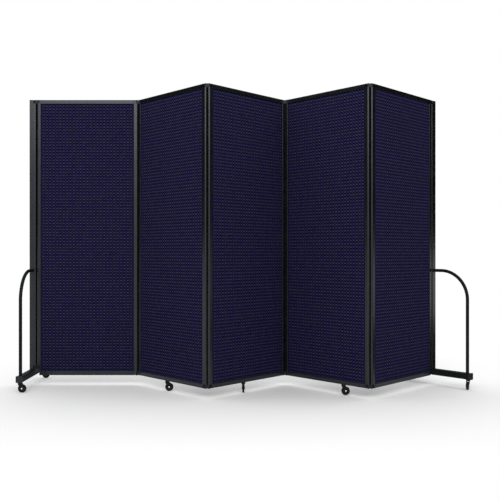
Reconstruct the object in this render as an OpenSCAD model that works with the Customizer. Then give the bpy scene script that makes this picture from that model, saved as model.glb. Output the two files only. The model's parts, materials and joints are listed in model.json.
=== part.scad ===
// Accordion folding partition on casters.
// Five fabric-faced panels in slim extruded frames stand in a zigzag. Each joint is a
// double-pin hinge: a hinge bar with a block at its top and its bottom, and a pin down
// into the rounded stile on either side, so that neighbours can fold flat either way.
// An end frame closes each end: a post, a square foot tube and a bent hoop that runs
// through the post and braces it to the foot. Seven swivel casters carry the partition.
// Millimetres, +Z up, floor at z = 0, +X along the row of panels, +Y away from the side
// that the middle hinges point to. The origin is on the floor under the middle of the
// space that the partition takes up in the pose drawn here.

/* [Panels] */
// Height from the floor to the top of the frames
overall_h = 1829; // [1400:1:2200]
// Width of one panel from nose to nose
panel_w = 650; // [500:1:900]
// Gap between the floor and the underside of the frames
ground_gap = 63; // [60:1:80]
// Angle by which each folding panel is turned from straight, as drawn
rest_fold = 44.5; // [20:0.5:60]
// Thickness of the panel frames
frame_t = 20; // [19:0.5:24]
// Face width of a stile, from nose to inner edge
stile_w = 27; // [26:0.5:34]
// Face height of a rail
rail_h = 25; // [24:0.5:34]
// Wall of the extruded frame sections
frame_wall = 2; // [1.6:0.1:2.4]
// Radius of the long edges of the frame sections
edge_r = 2; // [1:0.1:2.5]

/* [Infill] */
// Thickness of the core board
board_t = 12; // [9:0.5:13]
// Thickness of the fabric on each face of the board
fabric_t = 1; // [0.6:0.1:1.2]
// Depth of the groove that takes the board
groove_d = 8; // [6:0.5:9]
// How far the board reaches into the groove
board_grip = 7; // [4:0.5:7.5]
// Clearance on each face of the board in the groove
board_gap = 0.3; // [0.2:0.05:0.5]

/* [Hinges] */
// Distance between the two pins of a hinge beyond the frame thickness
nose_gap = 2; // [1.6:0.1:4]
// Diameter of a hinge pin
pin_d = 6; // [5:0.5:7]
// Height of a hinge block
hinge_h = 22; // [16:0.5:30]
// Width of a hinge block
hinge_w = 14; // [12:0.5:15]
// Thickness of the sight strip between two noses
strip_t = 1.4; // [1:0.1:1.5]
// Depth of a pin in its stile
pin_grip = 30; // [20:1:45]
// Height of a pin's head
pin_head_h = 1.5; // [1:0.1:3]
// Height of the lower pins' heads under the block
pin_foot_h = 3; // [2:0.1:3.5]
// Diameter of a pin's head
pin_head_d = 10; // [9:0.5:12]

/* [End frames] */
// Length of a post's section beyond its hinge pin
post_l = 33; // [33:0.5:44]
// Width and height of the square foot tube
foot_w = 38; // [36:0.5:42]
// Length of a foot, over its end caps
foot_l = 540; // [460:1:700]
// Wall of the foot tube
foot_wall = 2; // [1.5:0.1:3]
// Diameter of the hoop's tube
hoop_d = 20; // [16:0.5:21]
// Wall of the hoop's tube
hoop_wall = 1.5; // [1:0.1:2]
// Height of the hoop's crown above the floor, at the middle of the tube
hoop_h = 735; // [560:1:900]
// Gap between a hoop leg and the foot's end cap beside it
hoop_leg_gap = 8; // [2:1:50]
// Radius of the hoop's bends, at the middle of the tube
hoop_bend = 180; // [120:1:190]
// Thickness of the post's top cap
post_cap_t = 2.5; // [2:0.1:4]
// Wall of a foot's end cap
foot_cap_wall = 1.5; // [1:0.1:2]
// Length of a foot's end cap over the tube
foot_cap_l = 9; // [6:0.5:20]
// Distance between the two bolts that hold a post to its foot
bolt_gap = 12; // [11:0.5:13]

/* [Casters] */
// Diameter of a caster's wheel
wheel_d = 50; // [46:1:52]
// Width of a wheel's tread
wheel_w = 12; // [10:0.5:14]
// Distance from the swivel axis to the axle
trail = 12; // [8:0.5:14]
// Thickness of a fork's arms
fork_t = 2; // [1.5:0.1:2.5]
// Diameter of a caster's stem
stem_d = 8; // [7:0.5:9]
// Length of the stem above the underside of the frame
stem_l = 14; // [10:0.5:14]
// Diameter of an axle
axle_d = 6; // [5:0.5:7]
// Thickness of the tread over the wheel's disc
tread_t = 6; // [4:0.5:8]
// Place of the caster under panel 2, as a distance from the panel's left pin
caster_2_x = 280; // [80:1:570]
// Place of the caster under panel 3, as a distance from the panel's left pin
caster_3_x = 274; // [80:1:570]
// Place of the caster under panel 4, as a distance from the panel's left pin
caster_4_x = 454; // [80:1:570]

/* [Hidden] */
$fn = 48;

// Colours
frame_grey = [0.22, 0.22, 0.24];
foot_black = [0.12, 0.13, 0.13];
hinge_black = [0.07, 0.07, 0.08];
steel = [0.62, 0.62, 0.64];
board_tan = [0.72, 0.62, 0.46];
fabric_navy = [0.13, 0.12, 0.23];
tyre_black = [0.05, 0.05, 0.05];

// Clearances
run_gap = 0.05;    // round a pin, a stem or an axle
seat_gap = 0.3;    // between a fork and the frame above it
end_gap = 0.5;     // between a hinge block and the stile's cut end
block_gap = 1;     // between a turning hinge block and the stile beside it
cap_gap = 0.1;     // round the foot tube, inside its end caps
side_gap = 0.2;    // between a wheel's hub and the fork's arms
tread_gap = 3;     // between the tread and the fork's crown
swing_gap = 1;     // between a turning fork and the foot's end cap
boss_gap = 1;      // between the post's outer wall and the bolt boss beside it
eps = 0.01;

// Sections
nose_r = frame_t / 2;
stile_body = stile_w - nose_r;            // from the pin to the stile's inner edge
groove_w = board_t + 2 * (fabric_t + board_gap);
boss_r = pin_d / 2 + frame_wall;          // round a pin channel
cut_x = hinge_w / 2 + block_gap;          // where a stile is cut back for the hinge block

// Heights
frame_z0 = ground_gap;
frame_z1 = overall_h;
foot_z0 = ground_gap;
foot_z1 = foot_z0 + foot_w;
end_block_z = foot_z1 + pin_foot_h + block_gap;   // underside of an end hinge's lower block
post_top = overall_h - post_cap_t;

// Plan: pins are on two lines, the far one and the near one
pin_gap = frame_t + nose_gap;
panel_l = panel_w - frame_t;              // from pin to pin
fold_x = panel_l * cos(rest_fold);
fold_y = panel_l * sin(rest_fold);

// Angle of panel i, and the place of its left pin from panel 1's left pin
function panel_a(i) = i == 1 ? 0 : (i % 2 == 0 ? -rest_fold : rest_fold);
function panel_p(i) = i == 1 ? [0, 0] : [
  panel_l + (i - 1) * pin_gap + (i - 2) * fold_x,
  i % 2 == 0 ? 0 : -fold_y
];
function along(p, a, d) = [p[0] + d * cos(a), p[1] + d * sin(a)];
function panel_q(i) = along(panel_p(i), panel_a(i), panel_l);

left_post_p = [-pin_gap, 0];
right_post_p = along(panel_q(5), rest_fold, pin_gap);

// Foot and hoop, along and across the post's own frame: pin at 0, outer face at post_l
foot_x = post_l - foot_w / 2;
foot_r = edge_r + foot_wall;              // outer corners of the foot tube
foot_cap_w = foot_w + 2 * (foot_cap_wall + cap_gap);
foot_cap_out = foot_cap_w / 2 - foot_w / 2;       // how far a cap stands out from the tube
hoop_reach = foot_l / 2 - foot_cap_l - hoop_leg_gap - hoop_d / 2;   // from the middle plane
last_bolt_x = post_l - frame_wall - boss_gap - boss_r;
post_bolt_xs = [last_bolt_x - bolt_gap, last_bolt_x];

// The middle of the plan, which becomes the origin
plan_x0 = -pin_gap - post_l - foot_cap_out;
plan_x1 = right_post_p[0] + (post_l + foot_cap_out) * cos(rest_fold)
  + foot_l / 2 * sin(rest_fold);
plan_y0 = -fold_y - nose_r;
plan_y1 = foot_l / 2;
middle = [(plan_x0 + plan_x1) / 2, (plan_y0 + plan_y1) / 2];

// Casters: heights from the floor, widths from the stem's or the wheel's middle
axle_z = wheel_d / 2;
rim_r = wheel_d / 2 - tread_t;            // of the disc inside the tread
web_w = wheel_w / 2;
hub_w = wheel_w + 1.6;
hub_r = axle_d / 2 + 5;
fork_in = hub_w / 2 + side_gap;           // inner face of a fork's arm
crown_z = wheel_d + tread_gap;            // underside of the fork's crown
crown_t = 4;
crown_r = fork_in + fork_t + 4;
arm_r = axle_d / 2 + 4.5;                 // round the axle
nut_h = 2.5;
nut_r = axle_d / 2 + 2;
foot_caster_y = foot_l / 2 - foot_cap_l - swing_gap - crown_r;   // from the post's middle plane

// How far each caster's wheel is turned from +X, as drawn
yaw_ahead = 0;
yaw_across = 90;
yaw_slant = -120;

// ---- Placing ----

// Puts a child drawn round a pin at the origin at plan point p, turned by a
module at(p, a) {
  translate([p[0] - middle[0], p[1] - middle[1], 0]) rotate(a) children();
}

module on_panel(i) {
  at(panel_p(i), panel_a(i)) children();
}

module on_left_end() {
  at(left_post_p, 180) children();
}

module on_right_end() {
  at(right_post_p, rest_fold) children();
}

// ---- Sections ----

// Rectangle from the origin with true round corners
module round_rect(w, h, r) {
  translate([r, 0]) square([w - 2 * r, h]);
  translate([0, r]) square([w, h - 2 * r]);
  for (x = [r, w - r], y = [r, h - r]) translate([x, y]) circle(r = r);
}

// Bullnose section: half round about the pin, square end at +x
module bullnose(len, half_t, r) {
  circle(r = half_t);
  translate([-r, -half_t]) round_rect(len + r, 2 * half_t, r);
}

// Chamber of a bullnose section, with the pin's boss and its web left standing
module chamber(len) {
  difference() {
    bullnose(len - frame_wall, nose_r - frame_wall, edge_r / 2);
    circle(r = boss_r);
    translate([-nose_r, -frame_wall / 2]) square([nose_r, frame_wall]);
  }
}

module stile_section() {
  difference() {
    bullnose(stile_body, nose_r, edge_r);
    chamber(stile_body - groove_d);
    translate([stile_body - groove_d, -groove_w / 2]) square([groove_d + eps, groove_w]);
    circle(r = pin_d / 2 + run_gap);
  }
}

module post_section() {
  difference() {
    bullnose(post_l, nose_r, edge_r);
    difference() {
      chamber(post_l);
      for (x = post_bolt_xs) translate([x, 0]) {
        circle(r = boss_r);
        translate([-frame_wall / 2, -nose_r]) square([frame_wall, frame_t]);
      }
    }
    circle(r = pin_d / 2 + run_gap);
    for (x = post_bolt_xs) translate([x, 0]) circle(r = pin_d / 2 + run_gap);
  }
}

// Rail section, groove upwards: y across, z up from the outer edge
module rail_section() {
  chamber_h = rail_h - groove_d - 2 * frame_wall;
  difference() {
    translate([-nose_r, 0]) round_rect(frame_t, rail_h, edge_r);
    translate([-nose_r + frame_wall, frame_wall])
      square([frame_t - 2 * frame_wall, chamber_h]);
    translate([-groove_w / 2, rail_h - groove_d]) square([groove_w, groove_d + eps]);
  }
}

// Square tube up the z axis, r the radius of its outer corners
module square_tube(w, wall, r, len) {
  linear_extrude(len) difference() {
    translate([-w / 2, -w / 2]) round_rect(w, w, r);
    translate([-w / 2 + wall, -w / 2 + wall])
      round_rect(w - 2 * wall, w - 2 * wall, r - wall);
  }
}

// ---- Panels ----

// Takes the nose off a section between two heights, for a hinge block
module nose_cut(z0, z1) {
  translate([-frame_t, -frame_t, z0]) cube([frame_t + cut_x, 2 * frame_t, z1 - z0]);
}

// One stile; an end stile is cut back further at the bottom, above the foot
module stile(lower_cut_z) {
  color(frame_grey) difference() {
    translate([0, 0, frame_z0]) linear_extrude(frame_z1 - frame_z0) stile_section();
    nose_cut(frame_z1 - hinge_h - end_gap, frame_z1 + 1);
    nose_cut(frame_z0 - 1, lower_cut_z + hinge_h + end_gap);
  }
}

module panel_stiles(i) {
  on_panel(i) {
    stile(i == 1 ? end_block_z : frame_z0);
    translate([panel_l, 0, 0]) rotate(180) stile(i == 5 ? end_block_z : frame_z0);
  }
}

module rail() {
  translate([stile_body, 0, 0]) rotate([90, 0, 90])
    linear_extrude(panel_l - 2 * stile_body) rail_section();
}

// Boss inside a hollow section with the bore that a caster's stem turns in
module stem_boss(h) {
  cylinder(r = stem_d / 2 + frame_wall, h = h);
}

module stem_bore(h) {
  translate([0, 0, -eps]) cylinder(r = stem_d / 2 + run_gap, h = h);
}

module panel_rails(i) {
  stem_x = i == 2 ? caster_2_x : i == 3 ? caster_3_x : caster_4_x;
  has_caster = i > 1 && i < 5;
  color(frame_grey) on_panel(i) {
    translate([0, 0, frame_z1]) mirror([0, 0, 1]) rail();
    translate([0, 0, frame_z0]) difference() {
      union() {
        rail();
        if (has_caster) translate([stem_x, 0, frame_wall / 2])
          stem_boss(rail_h - groove_d - frame_wall);
      }
      if (has_caster) translate([stem_x, 0, 0]) stem_bore(stem_l + end_gap);
    }
  }
}

// A flat sheet that fills the groove all round, y0 to y0 + t across
module infill_sheet(y0, t) {
  x0 = stile_body - board_grip;
  z0 = frame_z0 + rail_h - board_grip;
  translate([x0, y0, z0])
    cube([panel_l - 2 * x0, t, frame_z1 - rail_h + board_grip - z0]);
}

module panel_board(i) {
  color(board_tan) on_panel(i) infill_sheet(-board_t / 2, board_t);
}

module panel_fabric(i) {
  color(fabric_navy) on_panel(i) {
    infill_sheet(board_t / 2, fabric_t);
    infill_sheet(-board_t / 2 - fabric_t, fabric_t);
  }
}

// ---- Hinges ----

// Hinge bar about its first pin, its second at pin_gap: two blocks and the sight strip
module hinge_bar(low_z) {
  color(hinge_black) difference() {
    union() {
      for (z = [low_z, frame_z1 - hinge_h]) translate([0, 0, z]) linear_extrude(hinge_h) {
        for (x = [0, pin_gap]) translate([x, 0]) circle(d = hinge_w);
        translate([0, -hinge_w / 2]) square([pin_gap, hinge_w]);
      }
      translate([pin_gap / 2 - strip_t / 2, -hinge_w / 2, low_z + hinge_h / 2])
        cube([strip_t, hinge_w, frame_z1 - hinge_h - low_z]);
    }
    for (x = [0, pin_gap], z = [low_z, frame_z1 - hinge_h])
      translate([x, 0, z - 1]) cylinder(d = pin_d + 2 * run_gap, h = hinge_h + 2);
  }
}

// One hinge pin, head up, its head resting at z = 0
module hinge_pin(head_h) {
  cylinder(d1 = pin_head_d, d2 = pin_head_d - head_h, h = head_h);
  translate([0, 0, -hinge_h - end_gap - pin_grip])
    cylinder(d = pin_d, h = hinge_h + end_gap + pin_grip + head_h / 2);
}

module hinge_pins(low_z) {
  color(steel) for (x = [0, pin_gap]) {
    translate([x, 0, frame_z1]) hinge_pin(pin_head_h);
    translate([x, 0, low_z]) mirror([0, 0, 1]) hinge_pin(pin_foot_h);
  }
}

module middle_hinge(i) {
  at(panel_q(i), 0) hinge_bar(frame_z0);
}

module middle_hinge_pins(i) {
  at(panel_q(i), 0) hinge_pins(frame_z0);
}

// ---- End frames, drawn about the post's pin with the outer side at +x ----

module post() {
  color(frame_grey) difference() {
    translate([0, 0, foot_z1]) linear_extrude(post_top - foot_z1) post_section();
    nose_cut(frame_z1 - hinge_h - end_gap, frame_z1 + 1);
    nose_cut(foot_z1 - 1, end_block_z + hinge_h + end_gap);
    translate([foot_x, frame_t, hoop_h]) rotate([90, 0, 0])
      cylinder(d = hoop_d + 2 * run_gap, h = 2 * frame_t);
  }
}

// Top cap: a plate over the post, with two pegs in its screw channels
module post_cap() {
  peg_l = 3 * post_cap_t;
  color(hinge_black) {
    translate([cut_x, -nose_r, post_top]) linear_extrude(post_cap_t)
      round_rect(post_l - cut_x, frame_t, edge_r);
    for (x = post_bolt_xs) translate([x, 0, post_top - peg_l])
      cylinder(d = pin_d, h = peg_l + post_cap_t / 2);
  }
}

module foot() {
  tube_l = foot_l - 2 * foot_cap_wall;
  color(foot_black) difference() {
    union() {
      translate([foot_x, -tube_l / 2, (foot_z0 + foot_z1) / 2]) rotate([-90, 0, 0])
        square_tube(foot_w, foot_wall, foot_r, tube_l);
      for (y = [-foot_caster_y, foot_caster_y])
        translate([foot_x, y, foot_z0 + foot_wall / 2]) stem_boss(stem_l + foot_wall);
    }
    for (y = [-foot_caster_y, foot_caster_y])
      translate([foot_x, y, foot_z0]) stem_bore(stem_l + end_gap);
    for (x = post_bolt_xs) translate([x, 0, foot_z0 - 1])
      cylinder(d = pin_d + 2 * run_gap, h = foot_w + 2);
  }
}

// Sleeve caps over both ends of the foot tube
module foot_caps() {
  w = foot_cap_w;
  r = foot_r + foot_cap_out;
  color(hinge_black) for (m = [0, 1]) mirror([0, m, 0])
    translate([foot_x, foot_l / 2, (foot_z0 + foot_z1) / 2]) rotate([90, 0, 0]) {
      linear_extrude(foot_cap_wall) translate([-w / 2, -w / 2]) round_rect(w, w, r);
      translate([0, 0, foot_cap_wall / 2])
        square_tube(w, foot_cap_wall, r, foot_cap_l - foot_cap_wall / 2);
    }
}

// Solid of the bent hoop for a tube of radius r: two legs, two bends and the crown
module hoop_path(r, over) {
  leg_h = hoop_h - hoop_bend - foot_z1;
  for (m = [0, 1]) mirror([0, m, 0]) {
    translate([0, hoop_reach, foot_z1 - over]) cylinder(r = r, h = leg_h + over);
    translate([0, hoop_reach - hoop_bend, hoop_h - hoop_bend]) rotate([90, 0, 90])
      rotate_extrude(angle = 90) translate([hoop_bend, 0]) circle(r = r);
  }
  crown_l = 2 * (hoop_reach - hoop_bend);
  translate([0, crown_l / 2, hoop_h]) rotate([90, 0, 0]) cylinder(r = r, h = crown_l);
}

module hoop() {
  color(foot_black) translate([foot_x, 0, 0]) difference() {
    hoop_path(hoop_d / 2, 0);
    hoop_path(hoop_d / 2 - hoop_wall, 1);
  }
}

// Bolts up through the foot into the post
module bolts() {
  color(steel) for (x = post_bolt_xs) translate([x, 0, foot_z0]) mirror([0, 0, 1]) {
    cylinder(d1 = pin_head_d, d2 = pin_head_d - pin_foot_h, h = pin_foot_h);
    translate([0, 0, -foot_w - pin_grip / 2])
      cylinder(d = pin_d, h = foot_w + pin_grip / 2 + pin_foot_h / 2);
  }
}

// ---- Casters, drawn about the stem with the wheel trailing towards +x ----

module fork_arm() {
  rotate([90, 0, 0]) linear_extrude(fork_t) hull() {
    translate([trail, axle_z]) circle(r = arm_r);
    translate([-crown_r, crown_z]) square([2 * crown_r, crown_t]);
  }
}

module fork() {
  color(hinge_black) difference() {
    union() {
      translate([0, -fork_in, 0]) fork_arm();
      translate([0, fork_in + fork_t, 0]) fork_arm();
      translate([-crown_r, -fork_in - fork_t, crown_z])
        cube([2 * crown_r, 2 * (fork_in + fork_t), crown_t]);
      translate([0, 0, crown_z + crown_t / 2])
        cylinder(r = crown_r, h = ground_gap - seat_gap - crown_z - crown_t / 2);
      translate([0, 0, crown_z + crown_t / 2])
        cylinder(d = stem_d, h = ground_gap + stem_l - crown_z - crown_t / 2);
    }
    translate([trail, wheel_d, axle_z]) rotate([90, 0, 0])
      cylinder(d = axle_d + 2 * run_gap, h = 2 * wheel_d);
  }
}

// Axle bolt with a domed nut at either end
module axle() {
  half_l = fork_in + fork_t + run_gap;
  color(steel) translate([trail, 0, axle_z]) rotate([90, 0, 0]) {
    translate([0, 0, -half_l]) cylinder(d = axle_d, h = 2 * half_l);
    for (m = [0, 1]) mirror([0, 0, m]) translate([0, 0, half_l])
      cylinder(r1 = nut_r, r2 = nut_r - nut_h / 2, h = nut_h);
  }
}

// Tread moulded round a disc, with a hub that stands a little proud of it on both sides
module wheel() {
  bore_r = axle_d / 2 + run_gap;
  color(tyre_black) translate([trail, 0, axle_z]) rotate([90, 0, 0]) rotate_extrude() {
    translate([rim_r, -wheel_w / 2]) round_rect(tread_t, wheel_w, tread_t * 0.4);
    translate([rim_r - tread_t / 3, -wheel_w * 0.42]) square([tread_t * 0.6, wheel_w * 0.84]);
    translate([bore_r, -web_w / 2]) square([rim_r - bore_r + eps, web_w]);
    translate([bore_r, -hub_w / 2]) square([hub_r - bore_r, hub_w]);
  }
}

// A caster's two nodes, its stem at x, y on the part that carries it, turned by yaw
module caster_fork(x, y, yaw) {
  translate([x, y, 0]) rotate(yaw) {
    fork();
    axle();
  }
}

module caster_wheel(x, y, yaw) {
  translate([x, y, 0]) rotate(yaw) wheel();
}

// ---- Nodes ----

panel_stiles(1);  // panel_1_stiles
panel_rails(1);  // panel_1_rails
panel_board(1);  // panel_1_board
panel_fabric(1);  // panel_1_fabric
panel_stiles(2);  // panel_2_stiles
panel_rails(2);  // panel_2_rails
panel_board(2);  // panel_2_board
panel_fabric(2);  // panel_2_fabric
panel_stiles(3);  // panel_3_stiles
panel_rails(3);  // panel_3_rails
panel_board(3);  // panel_3_board
panel_fabric(3);  // panel_3_fabric
panel_stiles(4);  // panel_4_stiles
panel_rails(4);  // panel_4_rails
panel_board(4);  // panel_4_board
panel_fabric(4);  // panel_4_fabric
panel_stiles(5);  // panel_5_stiles
panel_rails(5);  // panel_5_rails
panel_board(5);  // panel_5_board
panel_fabric(5);  // panel_5_fabric

at(left_post_p, 0) hinge_bar(end_block_z);  // hinge_left
middle_hinge(1);  // hinge_12
middle_hinge(2);  // hinge_23
middle_hinge(3);  // hinge_34
middle_hinge(4);  // hinge_45
at(panel_q(5), rest_fold) hinge_bar(end_block_z);  // hinge_right
at(left_post_p, 0) hinge_pins(end_block_z);  // hinge_left_pins
middle_hinge_pins(1);  // hinge_12_pins
middle_hinge_pins(2);  // hinge_23_pins
middle_hinge_pins(3);  // hinge_34_pins
middle_hinge_pins(4);  // hinge_45_pins
at(panel_q(5), rest_fold) hinge_pins(end_block_z);  // hinge_right_pins

on_left_end() post();  // left_post
on_left_end() post_cap();  // left_post_cap
on_left_end() foot();  // left_foot
on_left_end() foot_caps();  // left_foot_caps
on_left_end() hoop();  // left_hoop
on_left_end() bolts();  // left_bolts
on_right_end() post();  // right_post
on_right_end() post_cap();  // right_post_cap
on_right_end() foot();  // right_foot
on_right_end() foot_caps();  // right_foot_caps
on_right_end() hoop();  // right_hoop
on_right_end() bolts();  // right_bolts

on_panel(2) caster_fork(caster_2_x, 0, yaw_ahead - panel_a(2));  // caster_panel_2_fork
on_panel(2) caster_wheel(caster_2_x, 0, yaw_ahead - panel_a(2));  // caster_panel_2_wheel
on_panel(3) caster_fork(caster_3_x, 0, yaw_across - panel_a(3));  // caster_panel_3_fork
on_panel(3) caster_wheel(caster_3_x, 0, yaw_across - panel_a(3));  // caster_panel_3_wheel
on_panel(4) caster_fork(caster_4_x, 0, yaw_ahead - panel_a(4));  // caster_panel_4_fork
on_panel(4) caster_wheel(caster_4_x, 0, yaw_ahead - panel_a(4));  // caster_panel_4_wheel
on_left_end() caster_fork(foot_x, foot_caster_y, yaw_ahead - 180);  // caster_left_front_fork
on_left_end() caster_wheel(foot_x, foot_caster_y, yaw_ahead - 180);  // caster_left_front_wheel
on_left_end() caster_fork(foot_x, -foot_caster_y, yaw_ahead - 180);  // caster_left_rear_fork
on_left_end() caster_wheel(foot_x, -foot_caster_y, yaw_ahead - 180);  // caster_left_rear_wheel
on_right_end() caster_fork(foot_x, -foot_caster_y, yaw_slant - rest_fold);  // caster_right_front_fork
on_right_end() caster_wheel(foot_x, -foot_caster_y, yaw_slant - rest_fold);  // caster_right_front_wheel
on_right_end() caster_fork(foot_x, foot_caster_y, yaw_slant - rest_fold);  // caster_right_rear_fork
on_right_end() caster_wheel(foot_x, foot_caster_y, yaw_slant - rest_fold);  // caster_right_rear_wheel
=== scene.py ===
"""Accordion folding partition on casters: cloth-faced panels in black extruded frames, two-pin
hinges, hooped end frames and swivel casters, dressed for a plain studio picture."""

import json

import bmesh
import bpy
import numpy as np
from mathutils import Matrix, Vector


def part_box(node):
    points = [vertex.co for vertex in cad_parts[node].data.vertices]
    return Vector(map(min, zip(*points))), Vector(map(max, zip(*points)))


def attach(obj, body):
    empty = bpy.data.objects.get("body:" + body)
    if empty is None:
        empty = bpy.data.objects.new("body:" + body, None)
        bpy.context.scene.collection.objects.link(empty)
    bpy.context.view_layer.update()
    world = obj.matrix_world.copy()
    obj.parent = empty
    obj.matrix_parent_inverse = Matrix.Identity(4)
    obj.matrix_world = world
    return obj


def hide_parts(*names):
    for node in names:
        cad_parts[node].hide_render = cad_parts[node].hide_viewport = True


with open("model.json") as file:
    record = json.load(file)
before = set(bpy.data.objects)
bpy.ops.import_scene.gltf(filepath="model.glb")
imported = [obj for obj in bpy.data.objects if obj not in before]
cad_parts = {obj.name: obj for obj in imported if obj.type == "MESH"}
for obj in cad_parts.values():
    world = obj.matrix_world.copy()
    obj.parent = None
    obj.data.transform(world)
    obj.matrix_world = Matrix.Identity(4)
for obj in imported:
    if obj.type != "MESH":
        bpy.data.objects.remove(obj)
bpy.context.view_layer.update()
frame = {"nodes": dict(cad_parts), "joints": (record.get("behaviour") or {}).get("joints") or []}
nodes = frame["nodes"]
MM = 0.001

# ---- The view ----
# The partition is seen square on from some 4.4 m, from a little under half its height,
# through a normal lens held level. The horizon lies just under the picture's middle.
EYE = (0.0154, -4.3742, 0.8497)
LENS_MM, FILM_MM = 50.0, 36.0
HORIZON_DROP = 0.0052


def put(name, data):
    """A camera, a lamp or a mesh as an object in the scene."""
    made = bpy.data.objects.new(name, data)
    bpy.context.scene.collection.objects.link(made)
    return made


eye = bpy.data.cameras.new("eye")
eye.lens, eye.sensor_width, eye.shift_y = LENS_MM, FILM_MM, HORIZON_DROP
camera = put("eye", eye)
camera.location, camera.rotation_euler = EYE, (np.pi / 2, 0, 0)
bpy.context.scene.camera = camera
bpy.context.scene.view_settings.view_transform = "Standard"

# ---- Floor and light ----
# A white studio sweep: the floor takes the soft shade of the panels and fades to plain
# white between one and two metres out. A wide lamp hangs overhead, and a long one stands
# high behind the camera, where the tops of the frames mirror it.
WHITE = (1, 1, 1, 1)
SKY_LIGHT = 0.54
FLOOR_WHITE = (0.985, 0.985, 0.985, 1)
FLOOR_HALF = 14.0
FADE = (1.1, 2.2)
TOP_LAMP = dict(at=(0.0, 0.45, 3.4), turn=(0, 0, 0), size=(4.6, 1.8), watts=60.0)
FRONT_LAMP = dict(at=(0.0, -5.2, 3.5), turn=(1.12, 0, 0), size=(7.2, 2.0), watts=175.0)


def blank_nodes(owner):
    """Empties a material's or a world's node tree and returns it."""
    owner.use_nodes = True
    owner.node_tree.nodes.clear()
    return owner.node_tree


def add(tree, kind, inputs=None, **settings):
    """Adds a shader node: inputs are numbers or sockets of other nodes, by name or place."""
    made = tree.nodes.new("ShaderNode" + kind)
    for name, value in settings.items():
        setattr(made, name, value)
    for place, value in (inputs or {}).items():
        if isinstance(value, bpy.types.NodeSocket):
            tree.links.new(value, made.inputs[place])
        else:
            made.inputs[place].default_value = value
    return made


def calc(tree, operation, *values):
    """A Math node's result for numbers and sockets."""
    return add(tree, "Math", dict(enumerate(values)), operation=operation).outputs[0]


def remap(tree, value, source=(0, 1), target=(0, 1), **settings):
    """A number carried from one pair of limits over to another, and held within them."""
    limits = dict(zip(("From Min", "From Max", "To Min", "To Max"), (*source, *target)))
    return add(tree, "MapRange", {"Value": value, **limits}, **settings).outputs[0]


def object_place(tree):
    """The place of a point of the surface, in metres."""
    return add(tree, "TexCoord").outputs["Object"]


def seen_directly(tree):
    """1 for a ray from the camera or from a mirror-like or clear surface, else 0."""
    path = add(tree, "LightPath").outputs
    direct = calc(tree, "MAXIMUM", path["Is Camera Ray"], path["Is Glossy Ray"])
    return calc(tree, "MAXIMUM", direct, path["Is Transmission Ray"])


def hang_lamp(name, at, turn, size, watts):
    """A rectangular soft lamp; unturned, it shines straight down."""
    light = bpy.data.lights.new(name, "AREA")
    light.shape, light.energy = "RECTANGLE", watts
    light.size, light.size_y = size
    lamp = put(name, light)
    lamp.location, lamp.rotation_euler = at, turn


def stage_sheet(name, corners, material):
    """A flat four-cornered piece of the studio, which it returns."""
    mesh = bpy.data.meshes.new(name)
    mesh.from_pydata([tuple(corner) for corner in corners], [], [(0, 1, 2, 3)])
    mesh.materials.append(material)
    sheet = put(name, mesh)
    return sheet


world = bpy.data.worlds.new("studio")
bpy.context.scene.world = world
tree = blank_nodes(world)
strength = remap(tree, seen_directly(tree), target=(SKY_LIGHT, 1))
sky = add(tree, "Background", {"Color": WHITE, "Strength": strength})
add(tree, "OutputWorld", {"Surface": sky.outputs[0]})

hang_lamp("top_lamp", **TOP_LAMP)
hang_lamp("front_lamp", **FRONT_LAMP)

sweep = bpy.data.materials.new("studio_sweep")
tree = blank_nodes(sweep)
distance = add(tree, "VectorMath", {0: object_place(tree)}, operation="LENGTH").outputs["Value"]
faded = remap(tree, distance, FADE, interpolation_type="SMOOTHSTEP")
matt = add(tree, "BsdfDiffuse", {"Color": FLOOR_WHITE})
plain = add(tree, "Emission", {"Color": WHITE})
share = calc(tree, "MULTIPLY", faded, seen_directly(tree))
mixed = add(tree, "MixShader", {0: share, 1: matt.outputs[0], 2: plain.outputs[0]})
add(tree, "OutputMaterial", {"Surface": mixed.outputs[0]})
spread = FLOOR_HALF * np.array([(-1, -1, 0), (1, -1, 0), (1, 1, 0), (-1, 1, 0)])
stage_sheet("studio_floor", spread, sweep)

# ---- Black cards ----
# Cards beside the partition that the gloss alone sees: from eye height up they darken the
# faces that look sideways, and at the right a low card and a flat one darken the lower ends
# of those faces too. Each is given by its two long edges, as x and z.
CARD_BLACK = (0.004, 0.004, 0.004, 1)
CARD_NEAR, CARD_FAR = -4.2, 3.0
CARD_X, CARD_TOP = 2.95, 3.6
LOW_CARD_TOP = 0.25
FLAT_CARD_X, FLAT_CARD_Z = 1.5, 3 * MM
CARDS = {
    "card_left": ((-CARD_X, EYE[2]), (-CARD_X, CARD_TOP)),
    "card_right": ((CARD_X, EYE[2]), (CARD_X, CARD_TOP)),
    "card_low": ((CARD_X, 0), (CARD_X, LOW_CARD_TOP)),
    "card_flat": ((FLAT_CARD_X, FLAT_CARD_Z), (CARD_X, FLAT_CARD_Z)),
}

card_black = bpy.data.materials.new("card_black")
tree = blank_nodes(card_black)
matt = add(tree, "BsdfDiffuse", {"Color": CARD_BLACK})
add(tree, "OutputMaterial", {"Surface": matt.outputs[0]})
for name, ((x0, z0), (x1, z1)) in CARDS.items():
    corners = [(x0, CARD_NEAR, z0), (x0, CARD_FAR, z0), (x1, CARD_FAR, z1), (x1, CARD_NEAR, z1)]
    card = stage_sheet(name, corners, card_black)
    card.visible_camera = card.visible_diffuse = card.visible_shadow = False

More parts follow.
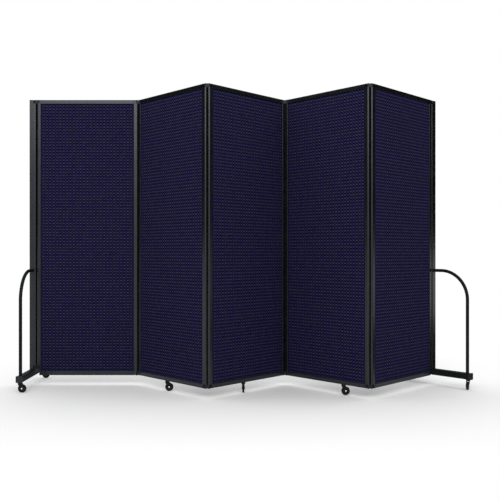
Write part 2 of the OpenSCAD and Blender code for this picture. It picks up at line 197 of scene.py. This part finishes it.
# ---- Stiles, rails and posts ----
# Aluminium sections pushed through a die and anodised black: the die leaves faint lines
# along the length, the satin skin is a shade paler in soft patches, and its gloss is cold.
ANODISED = (0.0035, 0.0037, 0.0042, 1)
ANODISED_PALE = (0.0065, 0.0068, 0.0075, 1)
PALE_PER_M, PALE_LIMITS = 9.0, (0.35, 0.7)
COLD_GLOSS = (0.84, 0.89, 1, 1)
ANODISED_IOR = 1.49
ANODISED_ROUGH = (0.24, 0.36)
DIE_LINES_PER_M, DIE_LINES_ALONG = 700.0, 3.0
DIE_LINE_DEPTH, DIE_LINE_STRENGTH = 0.06 * MM, 0.12

SIDES = ("left", "right")
PANEL_PINS = {
    "panel_1": ("left_end_swing", "panel_1_swing"),
    "panel_2": ("fold_12_bar", "fold_23_panel_2"),
    "panel_3": ("fold_23_bar", "fold_left"),
    "panel_4": ("fold_right", "fold_45_bar"),
    "panel_5": ("fold_45_panel_5", "right_end_swing"),
}
joint_at = {joint["name"]: np.array(joint["pos_m"]) for joint in frame["joints"]}


def panel_pins(panel):
    """A panel's left and right pins in plan, and the panel's angle from +X."""
    left, right = (joint_at[name][:2] for name in PANEL_PINS[panel])
    across = right - left
    return left, right, np.arctan2(across[1], across[0])


def new_finish(name, color, **constants):
    """A material with a Principled shader: its tree and shader, constants on its sockets.

    A constant under a link, as the colour often is, serves where only plain values are read.
    """
    material = bpy.data.materials.new(name)
    material.diffuse_color = color
    tree = blank_nodes(material)
    shader = add(tree, "BsdfPrincipled", {"Base Color": color})
    for socket, value in constants.items():
        shader.inputs[socket.replace("_", " ")].default_value = value
    add(tree, "OutputMaterial", {"Surface": shader.outputs[0]})
    return material, tree, shader


def plug(tree, shader, **results):
    """Links nodes' results into a shader's sockets."""
    for socket, result in results.items():
        tree.links.new(result, shader.inputs[socket.replace("_", " ")])


def noise(tree, place, per_m, detail=2.0):
    """Soft noise from 0 to 1 with so many lumps a metre."""
    inputs = {"Vector": place, "Scale": per_m, "Detail": detail}
    return add(tree, "TexNoise", inputs).outputs[0]


def blend(tree, share, first, second, mode="MIX"):
    """A mix of two colours by a share, or their product where mode is MULTIPLY."""
    inputs = {0: share, 6: first, 7: second}  # a Mix node's colours are 6 and 7, and 2 out
    return add(tree, "Mix", inputs, data_type="RGBA", blend_type=mode).outputs[2]


def raised(tree, height, depth, strength):
    """The surface's normal, bent as by a height from 0 to 1 that stands for a depth."""
    inputs = {"Height": height, "Distance": depth, "Strength": strength}
    return add(tree, "Bump", inputs).outputs[0]


def anodised_finish(name, turn, lines_along):
    """Black anodising with die lines along x or z of coordinates turned about z."""
    material, tree, shader = new_finish(name, ANODISED, Roughness=np.mean(ANODISED_ROUGH),
                                        IOR=ANODISED_IOR, Specular_Tint=COLD_GLOSS)
    place = object_place(tree)
    stretch = [DIE_LINES_PER_M] * 3
    stretch["xyz".index(lines_along)] = DIE_LINES_ALONG
    turned = add(tree, "Mapping", {"Vector": place, "Rotation": (0, 0, -turn)}).outputs[0]
    lengthways = add(tree, "Mapping", {"Vector": turned, "Scale": stretch}).outputs[0]
    lines = noise(tree, lengthways, 1.0)
    pale = remap(tree, noise(tree, place, PALE_PER_M, 3.0), PALE_LIMITS)
    plug(tree, shader,
         Base_Color=blend(tree, pale, ANODISED, ANODISED_PALE),
         Roughness=remap(tree, lines, target=ANODISED_ROUGH),
         Normal=raised(tree, lines, DIE_LINE_DEPTH, DIE_LINE_STRENGTH))
    return material


def dress(node, material):
    """Gives a carried-over node its finish."""
    nodes[node].data.materials.clear()
    nodes[node].data.materials.append(material)


anodised_upright = anodised_finish("anodised_upright", 0, "z")
for panel in PANEL_PINS:
    dress(f"{panel}_stiles", anodised_upright)
    turn = panel_pins(panel)[2]
    dress(f"{panel}_rails", anodised_finish(f"anodised_{panel}_rails", turn, "x"))
for side in SIDES:
    dress(f"{side}_post", anodised_upright)

# ---- Panel cloth ----
# Navy upholstery cloth, basket-woven with a small grid of dots, pulled tight over both faces
# of the core board and tucked into the frame's groove. It swells a little beyond the frame's
# lip and lies a hair's breadth slack in between; painted shade darkens it where it dips to the
# lip.
CLOTH_T, CLOTH_INSIDE_CAD = 0.9 * MM, 0.1 * MM
LIP = 7 * MM
SWELL, SWELL_REACH = 0.8 * MM, 9 * MM
SLACK, SLACK_REACH = 0.12 * MM, 70 * MM
SLACK_WAVE_ACROSS, SLACK_WAVE_UP = 0.31, 0.47
SLACK_STEP = 2.1
PATTERN_STEP = 0.37
LIP_SHADE_REACH, LIP_SHADE_STRENGTH = 2.5 * MM, 0.75
POINTS_ACROSS, POINTS_UP = 72, 160

# the grid's repeat, and the yarns: 14 and 12 of them to a repeat, each over two and under two
GRID_ACROSS, GRID_UP = 21.6 * MM, 19.3 * MM
WARP, WEFT = GRID_ACROSS / 14, GRID_UP / 12
WEAVE_REPEAT, WEAVE_BLUR = 4, 0.2
YARN_DEPTH, YARN_STRENGTH = 0.4 * MM, 0.55
YARN_SHADE, YARN_SHADE_LEAST = 0.8, 0.49
DOT_SWING, DOT_LEVEL = -0.98, -0.52
DOT_DEPTH = 0.8
DOT_UNEVEN, DOT_LEAST, DOT_UNEVEN_PER_M = 3.6, -0.72, 95.0
NAVY_DARK = (0.0014, 0.0010, 0.0085, 1)
NAVY = (0.0082, 0.0068, 0.034, 1)
NAVY_LIGHT = (0.038, 0.0345, 0.086, 1)
HEATHER = (0.011, 0.0101, 0.025, 1)
HEATHER_PER_M, HEATHER_LIMITS = 22.0, (0.42, 0.62)
CLOTH_ROUGH, CLOTH_IOR, CLOTH_GLOSS = 0.9, 1.2, 0.1


def cloth_finish():
    """Basket-woven yarns with a sunk dot and a raised float once in each repeat of the grid."""
    material, tree, shader = new_finish("navy_cloth", NAVY, Roughness=CLOTH_ROUGH, IOR=CLOTH_IOR,
                                        Specular_IOR_Level=CLOTH_GLOSS)
    place = add(tree, "UVMap", uv_map="cloth").outputs[0]
    across, up = add(tree, "SeparateXYZ", {0: place}).outputs[:2]

    def wave(value, pitch):
        return calc(tree, "COSINE", calc(tree, "MULTIPLY", value, 2 * np.pi / pitch))

    def backs(value, yarn):
        half_turns = calc(tree, "MULTIPLY", value, np.pi / yarn)
        return calc(tree, "ABSOLUTE", calc(tree, "SINE", half_turns))

    def grid(x, z):
        column = calc(tree, "MULTIPLY_ADD", wave(x, GRID_ACROSS), DOT_SWING, DOT_LEVEL)
        return calc(tree, "MULTIPLY", column, wave(z, GRID_UP))

    # the grid is most negative in a sunk dot and most positive on the float halfway up, and
    # its colours change from yarn to yarn only
    relief = grid(across, up)
    figure = grid(calc(tree, "SNAP", across, WARP), calc(tree, "SNAP", up, WEFT))

    # warp and weft are each a row of rounded backs, two over and two under by turns
    repeat = WEAVE_REPEAT * WARP, WEAVE_REPEAT * WEFT
    checks = calc(tree, "MULTIPLY", wave(across, repeat[0]), wave(up, repeat[1]))
    over = remap(tree, checks, (-WEAVE_BLUR, WEAVE_BLUR))
    yarns = add(tree, "Mix", {0: over, 2: backs(up, WEFT), 3: backs(across, WARP)}).outputs[0]

    # the dye is greyer in soft patches, darkest in the dots and palest on the floats
    patches = remap(tree, noise(tree, place, HEATHER_PER_M), HEATHER_LIMITS)
    uneven = noise(tree, place, DOT_UNEVEN_PER_M, 1.0)
    contrast = calc(tree, "MULTIPLY_ADD", uneven, DOT_UNEVEN, DOT_LEAST)
    pale = calc(tree, "MULTIPLY", figure, contrast)
    dark = calc(tree, "MULTIPLY", pale, -1.0)
    dyed = blend(tree, dark, blend(tree, patches, NAVY, HEATHER), NAVY_DARK)
    dyed = blend(tree, pale, dyed, NAVY_LIGHT)
    # painted shade: darker between the yarns and lighter on their rounded backs
    shade = calc(tree, "MULTIPLY_ADD", yarns, YARN_SHADE, YARN_SHADE_LEAST)
    shaded = blend(tree, 1.0, dyed, shade, "MULTIPLY")
    # painted shade: the cloth darkens towards the frame's lip, as the recess would shade it
    lip_shade = add(tree, "Attribute", attribute_name="lip_shade").outputs["Fac"]
    lip_shade_factor = calc(tree, "MULTIPLY_ADD", lip_shade, -LIP_SHADE_STRENGTH, 1.0)
    height = calc(tree, "MULTIPLY_ADD", relief, DOT_DEPTH, yarns)
    plug(tree, shader,
         Base_Color=blend(tree, 1.0, shaded, lip_shade_factor, "MULTIPLY"),
         Normal=raised(tree, height, YARN_DEPTH, YARN_STRENGTH))
    return material


def grid_quads(rows, columns):
    """The quads between the points of a grid, whose points are counted row by row."""
    corner = np.arange(rows * columns).reshape(rows, columns)
    quads = np.stack([corner[:-1, :-1], corner[:-1, 1:], corner[1:, 1:], corner[1:, :-1]], -1)
    return quads.reshape(-1, 4)


def cloth_mesh(name, points, uv):
    """A smooth mesh through a grid of points, with the map called cloth of the same grid."""
    quads = grid_quads(*points.shape[:2])
    mesh = bpy.data.meshes.new(name)
    mesh.from_pydata(points.reshape(-1, 3).tolist(), [], quads.tolist())
    layer = mesh.uv_layers.new(name="cloth")
    layer.data.foreach_set("uv", uv.reshape(-1, 2)[quads.ravel()].ravel().astype(np.float32))
    mesh.polygons.foreach_set("use_smooth", np.ones(len(quads), bool))
    return mesh


def eased(count):
    """Numbers from 0 to 1, (1 - cos) / 2 of equal steps, which crowd towards both ends."""
    return (1 - np.cos(np.pi * np.linspace(0, 1, count))) / 2


def cloth_face(panel, side, material):
    """One face of a panel: s runs across it and t up it, both from 0 to 1.

    It lies near the CAD cloth's own face where the frame's lip holds it, and rises beyond
    the lip by SWELL (1 - exp(-d / SWELL_REACH)), d being the distance to the nearest edge
    of the opening. Well within it a product of two sines adds the slack. The attribute
    lip_shade, exp(-d / LIP_SHADE_REACH), tells the finish where to paint shade by the lip.
    """
    left, right, angle = panel_pins(panel)
    # panel 1 stands along x, so the box of its cloth tells how every panel's cloth lies
    low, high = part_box("panel_1_fabric")
    inset = low.x - panel_pins("panel_1")[0][0]
    half = (high.y - low.y) / 2
    width, height = np.linalg.norm(right - left) - 2 * inset, high.z - low.z
    s, t = np.meshgrid(eased(POINTS_ACROSS), eased(POINTS_UP))
    x, z = s * width, t * height
    edge = np.minimum(np.minimum(x, width - x), np.minimum(z, height - z)) - LIP
    rise = SWELL * (1 - np.exp(-np.maximum(edge, 0) / SWELL_REACH))
    phase = SLACK_STEP * list(PANEL_PINS).index(panel) + side
    slack = np.sin(2 * np.pi * x / SLACK_WAVE_ACROSS + phase)
    slack = slack * np.sin(2 * np.pi * z / SLACK_WAVE_UP - phase)
    rise = rise + SLACK * slack * np.clip(edge / SLACK_REACH, 0, 1)
    out = side * (half - CLOTH_INSIDE_CAD + rise)
    along = np.array([np.cos(angle), np.sin(angle)])
    points = np.empty(x.shape + (3,))
    points[..., 0] = left[0] + along[0] * (inset + x) - along[1] * out
    points[..., 1] = left[1] + along[1] * (inset + x) + along[0] * out
    points[..., 2] = low.z + z
    uv = np.stack([x + PATTERN_STEP * phase, z], -1)
    # painted shade along the lip, fading with the distance from it
    lip_shade = np.exp(-np.maximum(edge, 0) / LIP_SHADE_REACH).astype(np.float32)
    if side > 0:
        points, uv, lip_shade = points[:, ::-1], uv[:, ::-1], lip_shade[:, ::-1]
    name = f"{panel}_cloth_{'front' if side < 0 else 'back'}"
    cloth = put(name, cloth_mesh(name, points, uv))
    cloth.data.attributes.new("lip_shade", "FLOAT", "POINT").data.foreach_set("value", lip_shade.ravel())
    cloth.data.materials.append(material)
    thick = cloth.modifiers.new("thickness", "SOLIDIFY")
    thick.thickness, thick.offset = CLOTH_T, -1
    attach(cloth, panel)
    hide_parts(f"{panel}_fabric")


navy_cloth = cloth_finish()
for panel in PANEL_PINS:
    for side in (-1, 1):
        cloth_face(panel, side, navy_cloth)

# ---- Core boards ----
# Paper honeycomb between two sheets of brown board. It shows nowhere unless the cloth is
# off, and keeps the plain flecked look of kraft board.
KRAFT = (0.33, 0.21, 0.11, 1)
KRAFT_ROUGH = 0.85
FLECKS_PER_M, FLECK_SHADES = 160.0, (0.8, 1.12)

kraft_board, tree, shader = new_finish("kraft_board", KRAFT, Roughness=KRAFT_ROUGH)
flecks = remap(tree, noise(tree, object_place(tree), FLECKS_PER_M), target=FLECK_SHADES)
plug(tree, shader, Base_Color=blend(tree, 1.0, KRAFT, flecks, "MULTIPLY"))
for panel in PANEL_PINS:
    dress(f"{panel}_board", kraft_board)

# ---- Hinge bars and plugs ----
# Glass-filled nylon, moulded black with a fine spark-eroded grain: the hinge blocks, the
# caps on the posts and the sleeves on the ends of the feet. The sight strip between the
# blocks is black nylon too; its darker, dead matt face is painted shade of the joint.
NYLON_BLACK = (0.004, 0.004, 0.0044, 1)
SLEEVE_GREY = (0.0152, 0.0158, 0.017, 1)
NYLON_ROUGH, SLEEVE_ROUGH = 0.42, 0.5
NYLON_IOR = 1.35
GRAIN_PER_M, GRAIN_DEPTH, NYLON_GRAIN = 1900.0, 0.1 * MM, 0.25
HAZE_PER_M, HAZE_LIMITS = 35.0, (0.3, 0.7)
HAZE_GLOSSIER, HAZE_DULLER = 0.08, 0.1
STRIP_SHADE_BLACK = (0.0012, 0.0012, 0.0013, 1)
STRIP_SHADE_GLOSS = 0.05
BLOCK_H = 22 * MM
HINGES = ("left", "12", "23", "34", "45", "right")


def moulded_finish(name, color, roughness, grain=NYLON_GRAIN, ior=NYLON_IOR):
    """An even colour with a fine grain in the height and a faint haze in the gloss."""
    material, tree, shader = new_finish(name, color, Roughness=roughness, IOR=ior,
                                        Specular_Tint=COLD_GLOSS)
    place = object_place(tree)
    rough = (roughness - HAZE_GLOSSIER, roughness + HAZE_DULLER)
    plug(tree, shader,
         Roughness=remap(tree, noise(tree, place, HAZE_PER_M, 3.0), HAZE_LIMITS, rough),
         Normal=raised(tree, noise(tree, place, GRAIN_PER_M, 1.0), GRAIN_DEPTH, grain))
    return material


def dress_between_blocks(node, material):
    """Gives a second finish to the faces of a hinge bar that lie between its two blocks."""
    mesh = nodes[node].data
    mesh.materials.append(material)
    points = np.empty(3 * len(mesh.vertices))
    mesh.vertices.foreach_get("co", points)
    corners = np.empty(len(mesh.loops), int)
    mesh.loops.foreach_get("vertex_index", corners)
    height = points[2::3][corners].reshape(-1, 3)
    middle = (height.min(1) + height.max(1)) / 2
    low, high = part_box(node)
    between = (middle > low.z + BLOCK_H + MM) & (middle < high.z - BLOCK_H - MM)
    mesh.polygons.foreach_set("material_index", between.astype(np.int32))


nylon = moulded_finish("moulded_nylon", NYLON_BLACK, NYLON_ROUGH)
sleeve_nylon = moulded_finish("foot_sleeves", SLEEVE_GREY, SLEEVE_ROUGH)
# painted shade: the strip between the blocks is darker and dead matt, as the joint would shade it
strip_shade = new_finish("strip_painted_shade", STRIP_SHADE_BLACK, Roughness=1.0, Specular_IOR_Level=STRIP_SHADE_GLOSS)[0]
for hinge in HINGES:
    dress(f"hinge_{hinge}", nylon)
    dress_between_blocks(f"hinge_{hinge}", strip_shade)
for side in SIDES:
    dress(f"{side}_post_cap", nylon)
    dress(f"{side}_foot_caps", sleeve_nylon)

# ---- Pins and bolts ----
# Turned steel, blackened: the hinge pins, and the bolts that hold the posts on the feet. The
# tool leaves its gloss a little uneven.
STEEL_DARK = (0.06, 0.06, 0.064, 1)
STEEL_ROUGH = 0.38
MARKS_PER_M, MARKS_SPREAD = 650.0, 0.3


def spread_about(tree, middle, unevenness, spread):
    """A number spread evenly about a middle by an unevenness from 0 to 1."""
    return calc(tree, "MULTIPLY_ADD", unevenness, spread, middle - spread / 2)


def turned_finish(name, color, roughness):
    """Turned metal with a soft unevenness in its gloss."""
    material, tree, shader = new_finish(name, color, Roughness=roughness, Metallic=1.0)
    marks = noise(tree, object_place(tree), MARKS_PER_M)
    plug(tree, shader, Roughness=spread_about(tree, roughness, marks, MARKS_SPREAD))
    return material


blackened_steel = turned_finish("blackened_steel", STEEL_DARK, STEEL_ROUGH)
for hinge in HINGES:
    dress(f"hinge_{hinge}_pins", blackened_steel)
for side in SIDES:
    dress(f"{side}_bolts", blackened_steel)

# ---- Feet and hoops ----
# Steel tube, bent and welded, then powder coated satin black: the coat has a fine orange
# peel, and use has rubbed it a shade lighter in patches.
POWDER = (0.0066, 0.0082, 0.009, 1)
POWDER_RUBBED = (0.0108, 0.0124, 0.0132, 1)
RUBBED_PER_M, RUBBED_LIMITS = 6.0, (0.45, 0.75)
POWDER_ROUGH, POWDER_SPREAD = 0.6, 0.16
POWDER_IOR = 1.15
PEEL_PER_M, PEEL_DEPTH, PEEL_STRENGTH = 420.0, 0.2 * MM, 0.2

powder_coat, tree, shader = new_finish("powder_coat", POWDER, Roughness=POWDER_ROUGH,
                                       IOR=POWDER_IOR)
place = object_place(tree)
peel = noise(tree, place, PEEL_PER_M, 1.0)
rubbed = remap(tree, noise(tree, place, RUBBED_PER_M, 4.0), RUBBED_LIMITS)
plug(tree, shader,
     Base_Color=blend(tree, rubbed, POWDER, POWDER_RUBBED),
     Roughness=spread_about(tree, POWDER_ROUGH, peel, POWDER_SPREAD),
     Normal=raised(tree, peel, PEEL_DEPTH, PEEL_STRENGTH))
for side in SIDES:
    dress(f"{side}_foot", powder_coat)
    dress(f"{side}_hoop", powder_coat)

# ---- Casters ----
# Stamped steel forks, painted black, with a rubber tread moulded on a grey nylon disc. A
# bright domed nut closes each end of the axle.
CASTERS = (
    "panel_2", "panel_3", "panel_4", "left_front", "left_rear", "right_front", "right_rear"
)
FORK_PAINT = (0.0045, 0.0045, 0.0047, 1)
PAINT_ROUGH, PAINT_GRAIN, PAINT_IOR = 0.36, 0.12, 1.25
RUBBER = (0.0022, 0.0022, 0.0024, 1)
DISC_GREY = (0.012, 0.012, 0.0125, 1)
DISC_ROUGH, TREAD_DULLER = 0.4, 0.22
WHEEL_IOR = 1.25
WHEEL_GRAIN_PER_M, WHEEL_GRAIN_ROUGH = 900.0, 0.12
WHEEL_GRAIN_DEPTH, WHEEL_GRAIN_STRENGTH = 0.1 * MM, 0.15
TREAD_T, TREAD_SEAM = 6 * MM, 0.4 * MM
ZINC = (0.8, 0.8, 0.81, 1)
ZINC_ROUGH = 0.26
ARM_FACE = 9.04 * MM
NUT_R = 5.2 * MM
NECK_H, DOME_H = 1.2 * MM, 2.9 * MM
DOME_POINTS, TURN_POINTS = 9, 33
WELD, SHARP_FROM = 0.001 * MM, np.radians(35)


def wheel_finish(caster):
    """Rubber beyond the disc and grey nylon within it, told apart by distance from the axle."""
    material, tree, shader = new_finish(f"wheel_{caster}", RUBBER, IOR=WHEEL_IOR,
                                        Roughness=DISC_ROUGH + TREAD_DULLER)
    place = object_place(tree)
    axle = tuple(joint_at[f"wheel_{caster}_roll"])
    low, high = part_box(f"caster_{caster}_wheel")
    disc_r = (high.z - low.z) / 2 - TREAD_T
    out = add(tree, "VectorMath", {0: place, 1: axle}, operation="DISTANCE").outputs["Value"]
    tread = remap(tree, out, (disc_r - TREAD_SEAM, disc_r))
    grain = noise(tree, place, WHEEL_GRAIN_PER_M)
    dull = calc(tree, "MULTIPLY_ADD", tread, TREAD_DULLER, DISC_ROUGH)
    plug(tree, shader,
         Base_Color=blend(tree, tread, DISC_GREY, RUBBER),
         Roughness=calc(tree, "MULTIPLY_ADD", grain, WHEEL_GRAIN_ROUGH, dull),
         Normal=raised(tree, grain, WHEEL_GRAIN_DEPTH, WHEEL_GRAIN_STRENGTH))
    return material


def weld_points(mesh):
    """Joins a mesh's doubled points, turns its faces outwards and shades it smooth."""
    work = bmesh.new()
    work.from_mesh(mesh)
    bmesh.ops.remove_doubles(work, verts=work.verts, dist=WELD)
    bmesh.ops.recalc_face_normals(work, faces=work.faces)
    work.to_mesh(mesh)
    work.free()
    mesh.shade_smooth()
    mesh.set_sharp_from_angle(angle=SHARP_FROM)


def axle_nuts(caster, material):
    """The two domed nuts of an axle, each a profile turned once round it.

    Out from the fork's arm the profile is a straight neck and then a quarter ellipse, of
    radius NUT_R cos a and height NECK_H + DOME_H sin a for a from 0 to a right angle.
    """
    axle = joint_at[f"wheel_{caster}_roll"]
    stem = joint_at[f"swivel_{caster}_turn"]
    ahead = np.append((axle - stem)[:2], 0) / np.linalg.norm((axle - stem)[:2])
    outward = np.array([-ahead[1], ahead[0], 0])
    a = np.linspace(0, np.pi / 2, DOME_POINTS)
    radius = np.concatenate([[0, NUT_R], NUT_R * np.cos(a)])
    height = np.concatenate([[0, 0], NECK_H + DOME_H * np.sin(a)])
    turn = np.linspace(0, 2 * np.pi, TURN_POINTS)
    ring = np.cos(turn)[:, None] * ahead + np.sin(turn)[:, None] * np.array([0, 0, 1])
    points, quads = [], []
    for side in (-1, 1):
        out = side * outward
        nut = axle + radius[:, None, None] * ring + (ARM_FACE + height)[:, None, None] * out
        first = len(points) * radius.size * turn.size
        points.append(nut.reshape(-1, 3))
        quads.append(first + grid_quads(*nut.shape[:2])[:, ::side])
    name = f"{caster}_axle_nuts"
    mesh = bpy.data.meshes.new(name)
    mesh.from_pydata(np.concatenate(points).tolist(), [], np.concatenate(quads).tolist())
    mesh.materials.append(material)
    weld_points(mesh)
    nuts = put(name, mesh)
    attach(nuts, f"swivel_{caster}")


fork_paint = moulded_finish("fork_paint", FORK_PAINT, PAINT_ROUGH, PAINT_GRAIN, PAINT_IOR)
zinc = turned_finish("zinc_nut", ZINC, ZINC_ROUGH)
for caster in CASTERS:
    dress(f"caster_{caster}_fork", fork_paint)
    dress(f"caster_{caster}_wheel", wheel_finish(caster))
    axle_nuts(caster, zinc)
